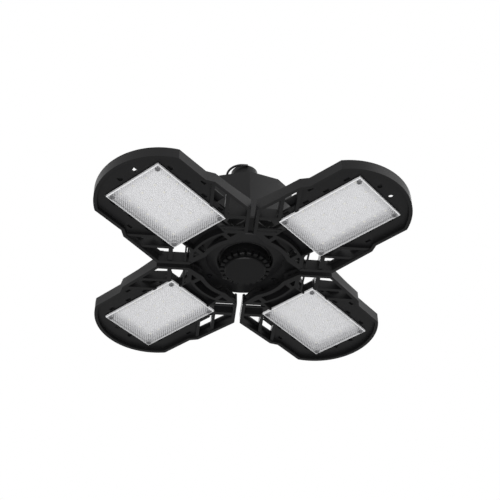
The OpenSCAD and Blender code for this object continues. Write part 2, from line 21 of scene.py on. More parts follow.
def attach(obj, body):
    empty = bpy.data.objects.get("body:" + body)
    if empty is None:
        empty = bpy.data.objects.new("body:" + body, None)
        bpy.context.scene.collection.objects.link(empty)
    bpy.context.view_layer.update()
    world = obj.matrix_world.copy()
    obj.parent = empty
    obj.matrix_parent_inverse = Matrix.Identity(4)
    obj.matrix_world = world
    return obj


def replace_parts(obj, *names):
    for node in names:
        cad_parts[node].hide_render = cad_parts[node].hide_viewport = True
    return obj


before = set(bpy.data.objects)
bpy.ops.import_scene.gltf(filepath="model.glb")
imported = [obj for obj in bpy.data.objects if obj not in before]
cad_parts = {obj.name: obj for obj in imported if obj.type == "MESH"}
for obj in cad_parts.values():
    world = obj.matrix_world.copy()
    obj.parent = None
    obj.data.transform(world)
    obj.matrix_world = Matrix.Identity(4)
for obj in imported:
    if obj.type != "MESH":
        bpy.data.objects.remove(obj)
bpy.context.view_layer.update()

LOG = logging.getLogger("light")
MM = 0.001
QUARTER_TURN = 90
LEAVES = (1, 2, 3, 4)
NECK_HEIGHT = 119 * MM
PRISM_PITCH = 1.25 * MM
SMOOTH_BELOW = math.radians(30.0)

# Axes of the whole model, and axes whose origin lies in the plane of the lens faces
MODEL_AXES = Matrix.Identity(4).freeze()
FACE_AXES = Matrix.Translation((0, 0, -NECK_HEIGHT)).freeze()

# Sockets of a Mix node that mixes colours, by number, because their names are used twice
MIX_FACTOR, MIX_LOW, MIX_HIGH, MIX_RESULT = 0, 6, 7, 2

Colour = tuple[float, float, float]
Point = tuple[float, float]
Corner = tuple[float, float, float]


class Body(Enum):
    """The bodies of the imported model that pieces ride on."""

    HUB = "hub"
    LOOP = "loop"
    CAP = "cap"
    BUTTON = "button"
    LEAF_1 = "leaf_1"
    LEAF_2 = "leaf_2"
    LEAF_3 = "leaf_3"
    LEAF_4 = "leaf_4"


class Slot(Enum):
    """The record's material slots."""

    BLACK = "black_plastic"
    INNER = "inner_plastic"
    LENS = "clear_lens"
    BOARD = "white_board"
    CELL = "solar_cell"
    STEEL = "steel"
    RUBBER = "rubber"
    BRASS = "brass"
    WRAP = "cell_wrap"
    GREEN = "green_board"


class Socket:
    """A number or a colour that varies: one output socket of a node."""

    def __init__(self, nodes: "Nodes", socket: bpy.types.NodeSocket) -> None:
        """Keep the socket and the nodes that it belongs to."""
        self.nodes = nodes
        self.socket = socket

    def _math(self, operation: str, *values: "Number") -> "Socket":
        """Add a Math node that works the operation out on the values."""
        return self.nodes.node("ShaderNodeMath", {"operation": operation}, dict(enumerate(values)))

    def __add__(self, other: "Number") -> "Socket":
        """Sum."""
        return self._math("ADD", self, other)

    def __radd__(self, other: "Number") -> "Socket":
        """Sum, with the number first."""
        return self._math("ADD", other, self)

    def __sub__(self, other: "Number") -> "Socket":
        """Difference."""
        return self._math("SUBTRACT", self, other)

    def __rsub__(self, other: "Number") -> "Socket":
        """Difference, with the number first."""
        return self._math("SUBTRACT", other, self)

    def __mul__(self, other: "Number") -> "Socket":
        """Product."""
        return self._math("MULTIPLY", self, other)

    def __rmul__(self, other: "Number") -> "Socket":
        """Product, with the number first."""
        return self._math("MULTIPLY", other, self)

    def __truediv__(self, other: "Number") -> "Socket":
        """Quotient."""
        return self._math("DIVIDE", self, other)

    def __rtruediv__(self, other: "Number") -> "Socket":
        """Quotient, with the number first."""
        return self._math("DIVIDE", other, self)

    def __mod__(self, other: "Number") -> "Socket":
        """Remainder of a floored division."""
        return self._math("FLOORED_MODULO", self, other)

    def __rmod__(self, other: "Number") -> "Socket":
        """Remainder of a floored division, with the number first."""
        return self._math("FLOORED_MODULO", other, self)

    def __abs__(self) -> "Socket":
        """Size without the sign."""
        return self._math("ABSOLUTE", self)

    def __lt__(self, other: "Number") -> "Socket":
        """1 where this is less than the other value, 0 elsewhere."""
        return self._math("LESS_THAN", self, other)

    def __gt__(self, other: "Number") -> "Socket":
        """1 where this is greater than the other value, 0 elsewhere."""
        return self._math("GREATER_THAN", self, other)

    def least(self, other: "Number") -> "Socket":
        """The smaller of two values."""
        return self._math("MINIMUM", self, other)

    def most(self, other: "Number") -> "Socket":
        """The larger of two values."""
        return self._math("MAXIMUM", self, other)


Number = Union[Socket, float]
Tint = Union[Socket, Colour]
Value = Union[Socket, float, tuple]


@dataclass(frozen=True)
class Plate:
    """A flat rectangle along the X axis of a leaf, centred across it."""

    start: float
    end: float
    half_width: float


LENS_PLATE = Plate(61.4 * MM, 145 * MM, 29.25 * MM)
LAMP_BOARD = Plate(63.8 * MM, 142.6 * MM, 26.85 * MM)


class Nodes:
    """A node tree, with one method that every node comes from."""

    def __init__(self, tree: bpy.types.NodeTree) -> None:
        """Keep the tree."""
        self.tree = tree

    def node(
        self,
        kind: str,
        settings: Optional[dict[str, str]] = None,
        values: Optional[dict[Union[int, str], Value]] = None,
        output: Union[int, str] = 0,
    ) -> Socket:
        """Add a node.

        Args:
            kind: The node's type.
            settings: Its properties, which are set first.
            values: What goes into each input, by its name or number.
            output: The output that is wanted, by name or number.

        Returns:
            The wanted output.
        """
        node = self.tree.nodes.new(kind)
        for name, setting in (settings or {}).items():
            setattr(node, name, setting)
        for key, value in (values or {}).items():
            self.feed(node.inputs[key], value)
        return Socket(self, node.outputs[output])

    def feed(self, entry: bpy.types.NodeSocket, value: Value) -> None:
        """Link an output to an input, or set the input's own value.

        Args:
            entry: The input.
            value: The output to link, or a number, colour or vector.
        """
        if isinstance(value, Socket):
            self.tree.links.new(value.socket, entry)
        else:
            entry.default_value = value


class Shader(Nodes):
    """The nodes of one material, with a Principled shader at their end."""

    def __init__(self, name: str) -> None:
        """Make the material and find its shader.

        Args:
            name: The material's name.
        """
        self.material = bpy.data.materials.new(name)
        self.material.use_nodes = True
        super().__init__(self.material.node_tree)
        self.surface = self.tree.nodes["Principled BSDF"]

    def set(self, **values: Value) -> None:
        """Set the Principled shader's inputs.

        Args:
            **values: What goes into each input, by its name in lower case with underscores.
        """
        entries = {s.name.lower().replace(" ", "_"): s for s in self.surface.inputs}
        for name, value in values.items():
            self.feed(entries[name], value)

    def place(self) -> Socket:
        """The point's place in the piece's own axes."""
        return self.node("ShaderNodeTexCoord", output="Object")

    def axis(self, place: Socket, axis: str) -> Socket:
        """One coordinate of a place, such as its "X"."""
        return self.node("ShaderNodeSeparateXYZ", values={0: place}, output=axis)

    def inset(self, plate: Plate) -> Socket:
        """Work out how far inside a plate's outline the point lies.

        Args:
            plate: The plate.

        Returns:
            The distance from the nearest side.
        """
        place = self.place()
        middle, half = (plate.start + plate.end) / 2, (plate.end - plate.start) / 2
        ends = half - abs(self.axis(place, "X") - middle)
        return ends.least(plate.half_width - abs(self.axis(place, "Y")))

    def noise(self, size: float, detail: float = 2.0, place: Optional[Socket] = None) -> Socket:
        """Add smooth noise.

        Args:
            size: The size of its lumps.
            detail: How many finer layers it has.
            place: Where it is looked up; the point's own place if left out.

        Returns:
            The noise, from 0 to 1.
        """
        at = self.place() if place is None else place
        values = {"Vector": at, "Scale": 1 / size, "Detail": detail}
        return self.node("ShaderNodeTexNoise", values=values)

    def blend(self, factor: Number, low: Tint, high: Tint) -> Socket:
        """Mix two colours.

        Args:
            factor: The share of the second colour.
            low: The colour at 0.
            high: The colour at 1.

        Returns:
            The mixed colour.
        """
        first, second = (c if isinstance(c, Socket) else (*c, 1.0) for c in (low, high))
        values = {MIX_FACTOR: factor, MIX_LOW: first, MIX_HIGH: second}
        return self.node("ShaderNodeMix", {"data_type": "RGBA"}, values, MIX_RESULT)

    def bump(self, height: Socket, depth: float) -> Socket:
        """Normal of a surface with that relief, from 0 to a full height of depth."""
        return self.node("ShaderNodeBump", values={"Height": height, "Distance": depth})


def toned(colour: Colour, factor: float) -> Colour:
    """The colour made darker or lighter by a factor."""
    return tuple(factor * c for c in colour)


@dataclass(frozen=True)
class Finish:
    """What a surface is made of. The floor's paper, which isn't part of the light, has no slot."""

    name: str
    slot: Optional[Slot]
    colour: Colour

    def material(self) -> bpy.types.Material:
        """Give the finish's material, which is made the first time.

        Returns:
            The material.
        """
        known = bpy.data.materials.get(self.name)
        if known:
            return known
        shader = Shader(self.name)
        self.build(shader)
        return shader.material

    def build(self, shader: Shader) -> None:
        """Add the finish's own nodes to the shader."""
        raise NotImplementedError


@dataclass(frozen=True)
class Moulded(Finish):
    """Satin moulded plastic with a fine grain and faint flow marks.

    Attributes:
        roughness: The middle of its roughness.
        specular: The level of its reflections.
        grain: The size of the grain's lumps.
        depth: The grain's depth.
        flow: The size of the flow marks.
        flow_share: Their share of the shading, of which the grain has the rest.
        darkest: What the colour is multiplied by in the darkest places.
        lightest: What it is multiplied by in the lightest places.
        gloss_swing: How far the roughness varies.
    """

    roughness: float = 0.5
    specular: float = 0.5
    grain: float = 0.35 * MM
    depth: float = 0.012 * MM
    flow: float = 22 * MM
    flow_share: float = 0.75
    darkest: float = 0.82
    lightest: float = 1.2
    gloss_swing: float = 0.1

    def build(self, shader: Shader) -> None:
        """Vary the colour and the gloss slightly, and add the grain.

        Args:
            shader: The material's nodes.
        """
        flow = shader.noise(self.flow, detail=3)
        grain = shader.noise(self.grain, detail=1)
        marks = self.flow_share * flow + (1 - self.flow_share) * grain
        low, high = toned(self.colour, self.darkest), toned(self.colour, self.lightest)
        shader.set(
            base_color=shader.blend(marks, low, high),
            roughness=self.roughness - self.gloss_swing / 2 + self.gloss_swing * flow,
            specular_ior_level=self.specular,
            normal=shader.bump(grain, self.depth),
        )


@dataclass(frozen=True)
class Metal(Finish):
    """Plated or drawn metal with fine scratches, which may run along one axis."""

    roughness: float = 0.3
    stretch: tuple[float, float, float] = (1.0, 1.0, 1.0)
    scratch: float = 0.5 * MM
    scratch_share: float = 0.4
    depth: float = 0.004 * MM
    tarnish: float = 3 * MM
    darkest: float = 0.75
    gloss_swing: float = 0.18

    def build(self, shader: Shader) -> None:
        """Roughen the metal unevenly and dull its tarnished places.

        Args:
            shader: The material's nodes.
        """
        values = {0: shader.place(), 1: self.stretch}
        run = shader.node("ShaderNodeVectorMath", {"operation": "MULTIPLY"}, values)
        scratch = shader.noise(self.scratch, detail=3, place=run)
        tarnish = shader.noise(self.tarnish)
        marks = (1 - self.scratch_share) * tarnish + self.scratch_share * scratch
        shader.set(
            base_color=shader.blend(marks, toned(self.colour, self.darkest), self.colour),
            metallic=1.0,
            roughness=self.roughness + self.gloss_swing * scratch,
            normal=shader.bump(scratch, self.depth),
        )


@dataclass(frozen=True)
class PrismLens(Finish):
    """Clear plastic whose prisms scatter part of the light, with a painted highlight along its
    rim.

    Attributes:
        pitch: The distance between two prisms.
        plate: The outline of the lens plate.
        veil: The share of the light that is scattered in the valleys.
        crest_veil: The share that the crests add.
        mould_veil: The share that the mould's unevenness adds.
        mould: The size of that unevenness.
        darkest: What the colour is multiplied by in the darkest places.
        rim: The width of the rim, drawn opaque and light as a painted highlight.
        rim_highlight_colour: The colour of the painted highlight on the rim.
        roughness: The least roughness.
        gloss_swing: How far the roughness varies.
        ior: The index of refraction.
    """

    pitch: float = PRISM_PITCH
    plate: Plate = LENS_PLATE
    veil: float = 0.08
    crest_veil: float = 0.6
    mould_veil: float = 0.08
    mould: float = 3 * MM
    darkest: float = 0.94
    rim: float = 0.7 * MM
    rim_highlight_colour: Colour = (0.72, 0.72, 0.73)
    roughness: float = 0.12
    gloss_swing: float = 0.12
    ior: float = 1.49

    def build(self, shader: Shader) -> None:
        """Scatter more light on the crests than in the valleys, and paint a highlight on the rim.

        Args:
            shader: The material's nodes.
        """
        place = shader.place()
        steps = [abs(shader.axis(place, a) / self.pitch % 2.0 - 1.0) for a in "XY"]
        crest = abs(steps[0] + steps[1] - 1.0)
        mould = shader.noise(self.mould, detail=1)
        # Painted highlight: the rim is drawn opaque and light, standing in for the plate's edge
        # catching the light
        rim = shader.inset(self.plate) < self.rim
        plain = shader.blend(mould, toned(self.colour, self.darkest), self.colour)
        veil = self.veil + self.crest_veil * crest + self.mould_veil * mould
        shader.set(
            base_color=shader.blend(rim, plain, self.rim_highlight_colour),
            roughness=self.roughness + self.gloss_swing * mould,
            ior=self.ior,
            alpha=veil + (1.0 - veil) * rim,
        )


@dataclass(frozen=True)
class Board(Finish):
    """Circuit board under solder mask, with faint copper areas below it, and painted shade
    darkening it towards its outline.

    Attributes:
        trace: The size of a copper area.
        trace_order: How much the areas are shifted out of a regular grid.
        trace_gap: The gap between them, as a share of their size.
        depth: How far they are raised.
        speck: The size of the specks in the mask.
        speck_share: The specks' share of the shading.
        darkest: What the colour is multiplied by in the darkest places.
        roughness: The least roughness.
        gloss_swing: How far the roughness varies.
        outline: The board's outline, towards which painted shade darkens it.
        edge: How far in from the outline the painted shade reaches.
        painted_shade_lump: The size of the raggedness of the painted shade's inner edge.
        painted_shade_swing: How ragged it is, as a share of its reach.
        painted_shade_colour: The colour of the painted shade at the outline.
    """

    trace: float = 2.4 * MM
    trace_order: float = 0.35
    trace_gap: float = 0.06
    depth: float = 0.02 * MM
    speck: float = 0.8 * MM
    speck_share: float = 0.3
    darkest: float = 0.9
    roughness: float = 0.38
    gloss_swing: float = 0.1
    outline: Optional[Plate] = None
    edge: float = 7.5 * MM
    painted_shade_lump: float = 4 * MM
    painted_shade_swing: float = 0.3
    painted_shade_colour: Colour = (0.2, 0.2, 0.21)

    def build(self, shader: Shader) -> None:
        """Draw the copper areas as a slightly lighter, raised pattern, and paint shade along the
        edges.

        Args:
            shader: The material's nodes.
        """
        copper = shader.node(
            "ShaderNodeTexVoronoi",
            {"feature": "DISTANCE_TO_EDGE"},
            {"Vector": shader.place(), "Scale": 1 / self.trace, "Randomness": self.trace_order},
            output="Distance",
        ) > self.trace_gap
        speck = shader.noise(self.speck)
        marks = (1 - self.speck_share) * copper + self.speck_share * speck
        mask_and_shade = shader.blend(marks, toned(self.colour, self.darkest), self.colour)
        # Painted shade: the board is darkened towards its outline in a ragged band, as if shadowed
        # by the walls round it
        if self.outline:
            ragged = self.painted_shade_swing * shader.noise(self.painted_shade_lump) - self.painted_shade_swing / 2
            inward = shader.inset(self.outline) / self.edge + ragged
            mask_and_shade = shader.blend(inward.least(1.0), self.painted_shade_colour, mask_and_shade)
        shader.set(
            base_color=mask_and_shade,
            roughness=self.roughness + self.gloss_swing * speck,
            normal=shader.bump(copper, self.depth),
        )


@dataclass(frozen=True)
class CellGlass(Finish):
    """Solar cells behind clear resin: dark blue silicon crossed by thin silver fingers."""

    finger: float = 1.6 * MM
    finger_width: float = 0.1 * MM
    silver: Colour = (0.22, 0.23, 0.26)
    crystal: float = 6 * MM
    lightest: float = 1.7
    roughness: float = 0.16
    gloss_swing: float = 0.1
    resin_roughness: float = 0.08

    def build(self, shader: Shader) -> None:
        """Draw the fingers across the cells and the crystal patches in the silicon.

        Args:
            shader: The material's nodes.
        """
        along = shader.axis(shader.place(), "X")
        fingers = (along % self.finger) < self.finger_width
        values = {"Vector": shader.place(), "Scale": 1 / self.crystal}
        crystal = shader.node("ShaderNodeTexVoronoi", values=values, output="Distance")
        silicon = shader.blend(crystal, self.colour, toned(self.colour, self.lightest))
        shader.set(
            base_color=shader.blend(fingers, silicon, self.silver),
            roughness=self.roughness + self.gloss_swing * crystal,
            coat_weight=1.0,
            coat_roughness=self.resin_roughness,
        )


@dataclass(frozen=True)
class Phosphor(Finish):
    """Yellow silicone over the lamp dies."""

    speck: float = 0.25 * MM
    depth: float = 0.01 * MM
    darkest: float = 0.85
    roughness: float = 0.3
    gloss_swing: float = 0.1

    def build(self, shader: Shader) -> None:
        """Grade the silicone with fine phosphor specks.

        Args:
            shader: The material's nodes.
        """
        speck = shader.noise(self.speck, detail=3)
        shader.set(
            base_color=shader.blend(speck, toned(self.colour, self.darkest), self.colour),
            roughness=self.roughness + self.gloss_swing * speck,
            normal=shader.bump(speck, self.depth),
        )


@dataclass(frozen=True)
class Paper(Finish):
    """Matt paper under the light, in broad faint shades."""

    shade: float = 0.4
    darkest: float = 0.98
    roughness: float = 0.9

    def build(self, shader: Shader) -> None:
        """Shade the paper.

        Args:
            shader: The material's nodes.
        """
        shade = shader.noise(self.shade)
        shader.set(
            base_color=shader.blend(shade, toned(self.colour, self.darkest), self.colour),
            roughness=self.roughness,
        )


BLACK = Moulded(
    "moulded_black", Slot.BLACK, (0.0066, 0.0066, 0.007), roughness=0.4, specular=0.17
)
CAP_BLACK = Moulded("cap_black", Slot.BLACK, (0.005, 0.005, 0.0053), roughness=0.34, specular=0.11)
INNER = Moulded("moulded_grey", Slot.INNER, (0.05, 0.05, 0.055), roughness=0.55)
RUBBER = Moulded("seal_rubber", Slot.RUBBER, (0.02, 0.02, 0.02), roughness=0.7, specular=0.3)
WRAP = Moulded("shrink_wrap", Slot.WRAP, (0.1, 0.22, 0.36), roughness=0.28, depth=0.004 * MM)
STEEL = Metal("zinc_steel", Slot.STEEL, (0.55, 0.56, 0.58))
DRAWN = Metal(
    "dark_wire", Slot.STEEL, (0.07, 0.07, 0.072), roughness=0.26, stretch=(1.0, 1.0, 0.3)
)
BLACKENED = Metal("blackened_steel", Slot.STEEL, (0.035, 0.035, 0.038), roughness=0.4)
BRASS = Metal("stamped_brass", Slot.BRASS, (0.72, 0.56, 0.26))
RING = Metal("ring_steel", Slot.STEEL, (0.3, 0.3, 0.31), roughness=0.35)
LENS = PrismLens("prism_lens", Slot.LENS, (0.72, 0.72, 0.74))
# The white board gets painted shade towards its outline
WHITE_BOARD = Board("white_mask", Slot.BOARD, (0.82, 0.82, 0.83), outline=LAMP_BOARD)
GREEN_BOARD = Board("green_mask", Slot.GREEN, (0.03, 0.14, 0.06))
CELL = CellGlass("cell_glass", Slot.CELL, (0.009, 0.014, 0.045))
GLOW = Phosphor("lamp_phosphor", Slot.BOARD, (0.93, 0.9, 0.72))
FLOOR = Paper("floor_paper", None, (0.88, 0.88, 0.87))


@dataclass(frozen=True)
class EdgeWork:
    """How a moulded solid's copy gets its rounded edges. Its angles are in radians.

    Attributes:
        width: How far the rounding reaches from the edge.
        segments: The number of facets across it.
        shortest: Edges shorter than this are left as they are.
        sharp_from: Edges whose faces turn by less than this count as part of a round face.
        weld: Points closer than this are joined.
        flat_within: Faces that turn by less than this are joined into one flat face.
        roundness: The rounding's profile, where 0.5 is an arc.
    """

    width: float = 0.35 * MM
    segments: int = 2
    shortest: float = 0.9 * MM
    sharp_from: float = math.radians(32)
    weld: float = 0.002 * MM
    flat_within: float = math.radians(0.4)
    roundness: float = 0.5

    def clean(self, source: bpy.types.Mesh, to_local: Matrix) -> BMesh:
        """Join a solid's faces and drop the edges inside its flat areas.

        Args:
            source: The solid's mesh.
            to_local: Takes the model's axes into the piece's own.

        Returns:
            The joined mesh.
        """
        bm = bmesh.new()
        bm.from_mesh(source)
        bm.transform(to_local)
        bmesh.ops.remove_doubles(bm, verts=bm.verts, dist=self.weld)
        bmesh.ops.dissolve_limit(
            bm, angle_limit=self.flat_within, verts=bm.verts, edges=bm.edges, delimit={"NORMAL"}
        )
        return bm

    def soften(self, bm: BMesh) -> None:
        """Round the outer corners that are long enough to take it.

        Args:
            bm: The mesh.
        """
        edges = [
            e for e in bm.edges
            if len(e.link_faces) == 2 and e.is_convex and e.calc_length() > self.shortest
            and e.calc_face_angle(0.0) > self.sharp_from
        ]
        bmesh.ops.bevel(
            bm, geom=edges, offset=self.width, offset_type="OFFSET", segments=self.segments,
            profile=self.roundness, affect="EDGES", clamp_overlap=True,
        )
        wide = [f for f in bm.faces if len(f.verts) > 4]
        bmesh.ops.triangulate(bm, faces=wide, ngon_method="BEAUTY")

    def shade(self, bm: BMesh) -> None:
        """Shade round faces smooth and keep the sharp edges sharp.

        Args:
            bm: The mesh.
        """
        for face in bm.faces:
            face.smooth = True
        for edge in bm.edges:
            edge.smooth = len(edge.link_faces) == 2 and edge.calc_face_angle(0.0) < self.sharp_from


def bridge(bm: BMesh, first: list[BMVert], second: list[BMVert]) -> None:
    """Join two closed loops by a ring of faces.

    Args:
        bm: The mesh.
        first: The points of one loop.
        second: The points of the other loop, as many and in the same order.
    """
    count = len(first)
    for i in range(count):
        j = (i + 1) % count
        bm.faces.new((first[i], first[j], second[j], second[i]))


def block(bm: BMesh, low: Corner, high: Corner) -> None:
    """Add a block.

    Args:
        bm: The mesh.
        low: The block's lowest corner, in millimetres.
        high: Its highest corner, in millimetres.
    """
    near, far = Vector(low) * MM, Vector(high) * MM
    size = Matrix.Diagonal((*(far - near), 1.0))
    bmesh.ops.create_cube(bm, size=1.0, matrix=Matrix.Translation((near + far) / 2) @ size)


def prism(bm: BMesh, outline: list[Point], low: float, high: float) -> None:
    """Add an upright prism.

    Args:
        bm: The mesh.
        outline: The corners of its outline, in millimetres.
        low: The height of its lower face, in millimetres.
        high: The height of its upper face, in millimetres.
    """
    loops = [[bm.verts.new(Vector((x, y, z)) * MM) for x, y in outline] for z in (low, high)]
    bridge(bm, *loops)
    for loop in loops:
        bm.faces.new(loop)


def put(name: str, data: bpy.types.ID) -> bpy.types.Object:
    """Put a new object into the scene.

    Args:
        name: The object's name.
        data: Its mesh, lamp or camera.

    Returns:
        The object.
    """
    obj = bpy.data.objects.new(name, data)
    bpy.context.scene.collection.objects.link(obj)
    return obj


def put_mesh(name: str, bm: BMesh, finish: Finish) -> bpy.types.Object:
    """Put a new object with a mesh of its own into the scene.

    Args:
        name: The name of the object and of its mesh.
        bm: The mesh, which is used up.
        finish: The object's finish.

    Returns:
        The object.
    """
    mesh = bpy.data.meshes.new(name)
    bm.to_mesh(mesh)
    bm.free()
    obj = put(name, mesh)
    mesh.materials.append(finish.material())
    return obj


@dataclass
class Assembly:
    """A sub-assembly of the light: its pieces share one set of axes and one body."""

    body: Body
    local: Matrix = MODEL_AXES

    def piece(self, name: str, bm: BMesh, finish: Finish) -> bpy.types.Object:
        """Make a piece from a mesh in the assembly's own axes and let it ride on the body.

        Args:
            name: The piece's name.
            bm: Its mesh, which is used up.
            finish: Its finish.

        Returns:
            The piece's object.
        """
        obj = put_mesh(name, bm, finish)
        obj.matrix_world = self.local
        weighted = obj.modifiers.new("weighted", "WEIGHTED_NORMAL")
        weighted.keep_sharp = True
        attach(obj, self.body.value)
        LOG.info("%s: %d faces on %s", name, len(obj.data.polygons), self.body.value)
        return obj

    def solid(self, node: str, work: EdgeWork) -> BMesh:
        """A cleaned copy of a solid's mesh, in the assembly's own axes."""
        return work.clean(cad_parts[node].data, self.local.inverted())

    def softened(self, node: str, name: str, finish: Finish, work: EdgeWork) -> None:
        """Stand a copy with rounded edges in for a solid.

        Args:
            node: The solid's node.
            name: The new piece's name.
            finish: The piece's finish.
            work: How its edges are rounded.
        """
        bm = self.solid(node, work)
        work.soften(bm)
        work.shade(bm)
        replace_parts(self.piece(name, bm, finish), node)

    def moulded(self, name: str, bm: BMesh, work: EdgeWork) -> None:
        """Make a black moulded piece.

        Args:
            name: The piece's name.
            bm: Its closed mesh, which is used up.
            work: How its edges are rounded.
        """
        bmesh.ops.recalc_face_normals(bm, faces=bm.faces)
        work.soften(bm)
        work.shade(bm)
        self.piece(name, bm, BLACK)

    def dress(self, node: str, finish: Finish) -> None:
        """Give a solid that stays as it is its finish and smooth round faces.

        Args:
            node: The solid's node.
            finish: Its finish.
        """
        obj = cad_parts[node]
        obj.data.materials.clear()
        obj.data.materials.append(finish.material())
        obj.data.shade_smooth()
        obj.data.set_sharp_from_angle(angle=SMOOTH_BELOW)
        LOG.info("%s: dressed as %s, on %s", node, finish.name, self.body.value)


@dataclass
class Hub(Assembly):
    """The upright body with its base, collar, neck and what it holds."""

    body: Body = Body.HUB
    local: Matrix = FACE_AXES
    shell_edges: EdgeWork = EdgeWork(0.8 * MM, segments=3)
    plate_edges: EdgeWork = EdgeWork(0.3 * MM)
    ring_edges: EdgeWork = EdgeWork(0.5 * MM)
    screw_edges: EdgeWork = EdgeWork(0.15 * MM)
    rim_edges: EdgeWork = EdgeWork(0.4 * MM)

    # The base plate's rim between the hinges: it is round, but for the flats that the leaves fold
    # past. Its heights count from the lens faces, and its turns from the middle of a flat.
    rim_radius: float = 51.8 * MM
    rim_inner: float = 40 * MM
    rim_flat: float = 47.15 * MM
    rim_low: float = 14.4 * MM
    rim_high: float = 17.4 * MM
    rim_turns: range = range(-44, 46, 2)

    def build(self) -> None:
        """Make the hub's pieces."""
        self.softened("hub_housing", "hub_shell", BLACK, self.shell_edges)
        self.softened("hub_base", "hub_base_plate", BLACK, self.plate_edges)
        self.softened("collar_ring", "hub_collar", BLACK, self.ring_edges)
        self.softened("neck", "hub_neck", BLACK, self.ring_edges)
        self.softened("base_screws", "hub_screws", BLACKENED, self.screw_edges)
        self.base_rim()
        self.dress("battery_tray", INNER)
        self.dress("battery_cells", WRAP)
        self.dress("control_board", GREEN_BOARD)
        self.dress("board_screws", STEEL)

    def base_rim(self) -> None:
        """Round the base plate out between the hinges, where it covers the ridges' feet."""
        corner = math.degrees(math.acos(self.rim_flat / self.rim_radius))
        turns = sorted({*self.rim_turns, -corner, corner})
        angles = [math.radians(QUARTER_TURN * k + a) for k in range(len(LEAVES)) for a in turns]
        bm = bmesh.new()
        loops: list[list[BMVert]] = []
        for z in (self.rim_low, self.rim_high):
            outer, inner = [], []
            for a in angles:
                c, s = math.cos(a), math.sin(a)
                reach = min(self.rim_radius, self.rim_flat / max(abs(c), abs(s)))
                outer.append(bm.verts.new((reach * c, reach * s, z)))
                inner.append(bm.verts.new((self.rim_inner * c, self.rim_inner * s, z)))
            loops += [outer, inner]
        low_outer, low_inner, high_outer, high_inner = loops
        bridge(bm, low_outer, low_inner)
        bridge(bm, high_outer, high_inner)
        bridge(bm, low_outer, high_outer)
        bridge(bm, low_inner, high_inner)
        self.moulded("hub_base_rim", bm, self.rim_edges)


@dataclass
class TwistCap(Assembly):
    """The cap that closes the battery bay, with its seal and contact."""

    body: Body = Body.CAP
    edges: EdgeWork = EdgeWork(0.3 * MM)

    def build(self) -> None:
        """Make the cap's pieces."""
        self.softened("battery_cap", "twist_cap", CAP_BLACK, self.edges)
        self.dress("cap_seal", RUBBER)
        self.dress("cap_contact", BRASS)


@dataclass
class HangingLoop(Assembly):
    """The wire loop that the light hangs by."""

    body: Body = Body.LOOP

    def build(self) -> None:
        """Dress the loop."""
        self.dress("hanging_loop", DRAWN)


@dataclass
class SwitchButton(Assembly):
    """The button on the hub's roof."""

    body: Body = Body.BUTTON
    edges: EdgeWork = EdgeWork(0.3 * MM)

    def build(self) -> None:
        """Make the button."""
        self.softened("switch_button", "push_button", INNER, self.edges)


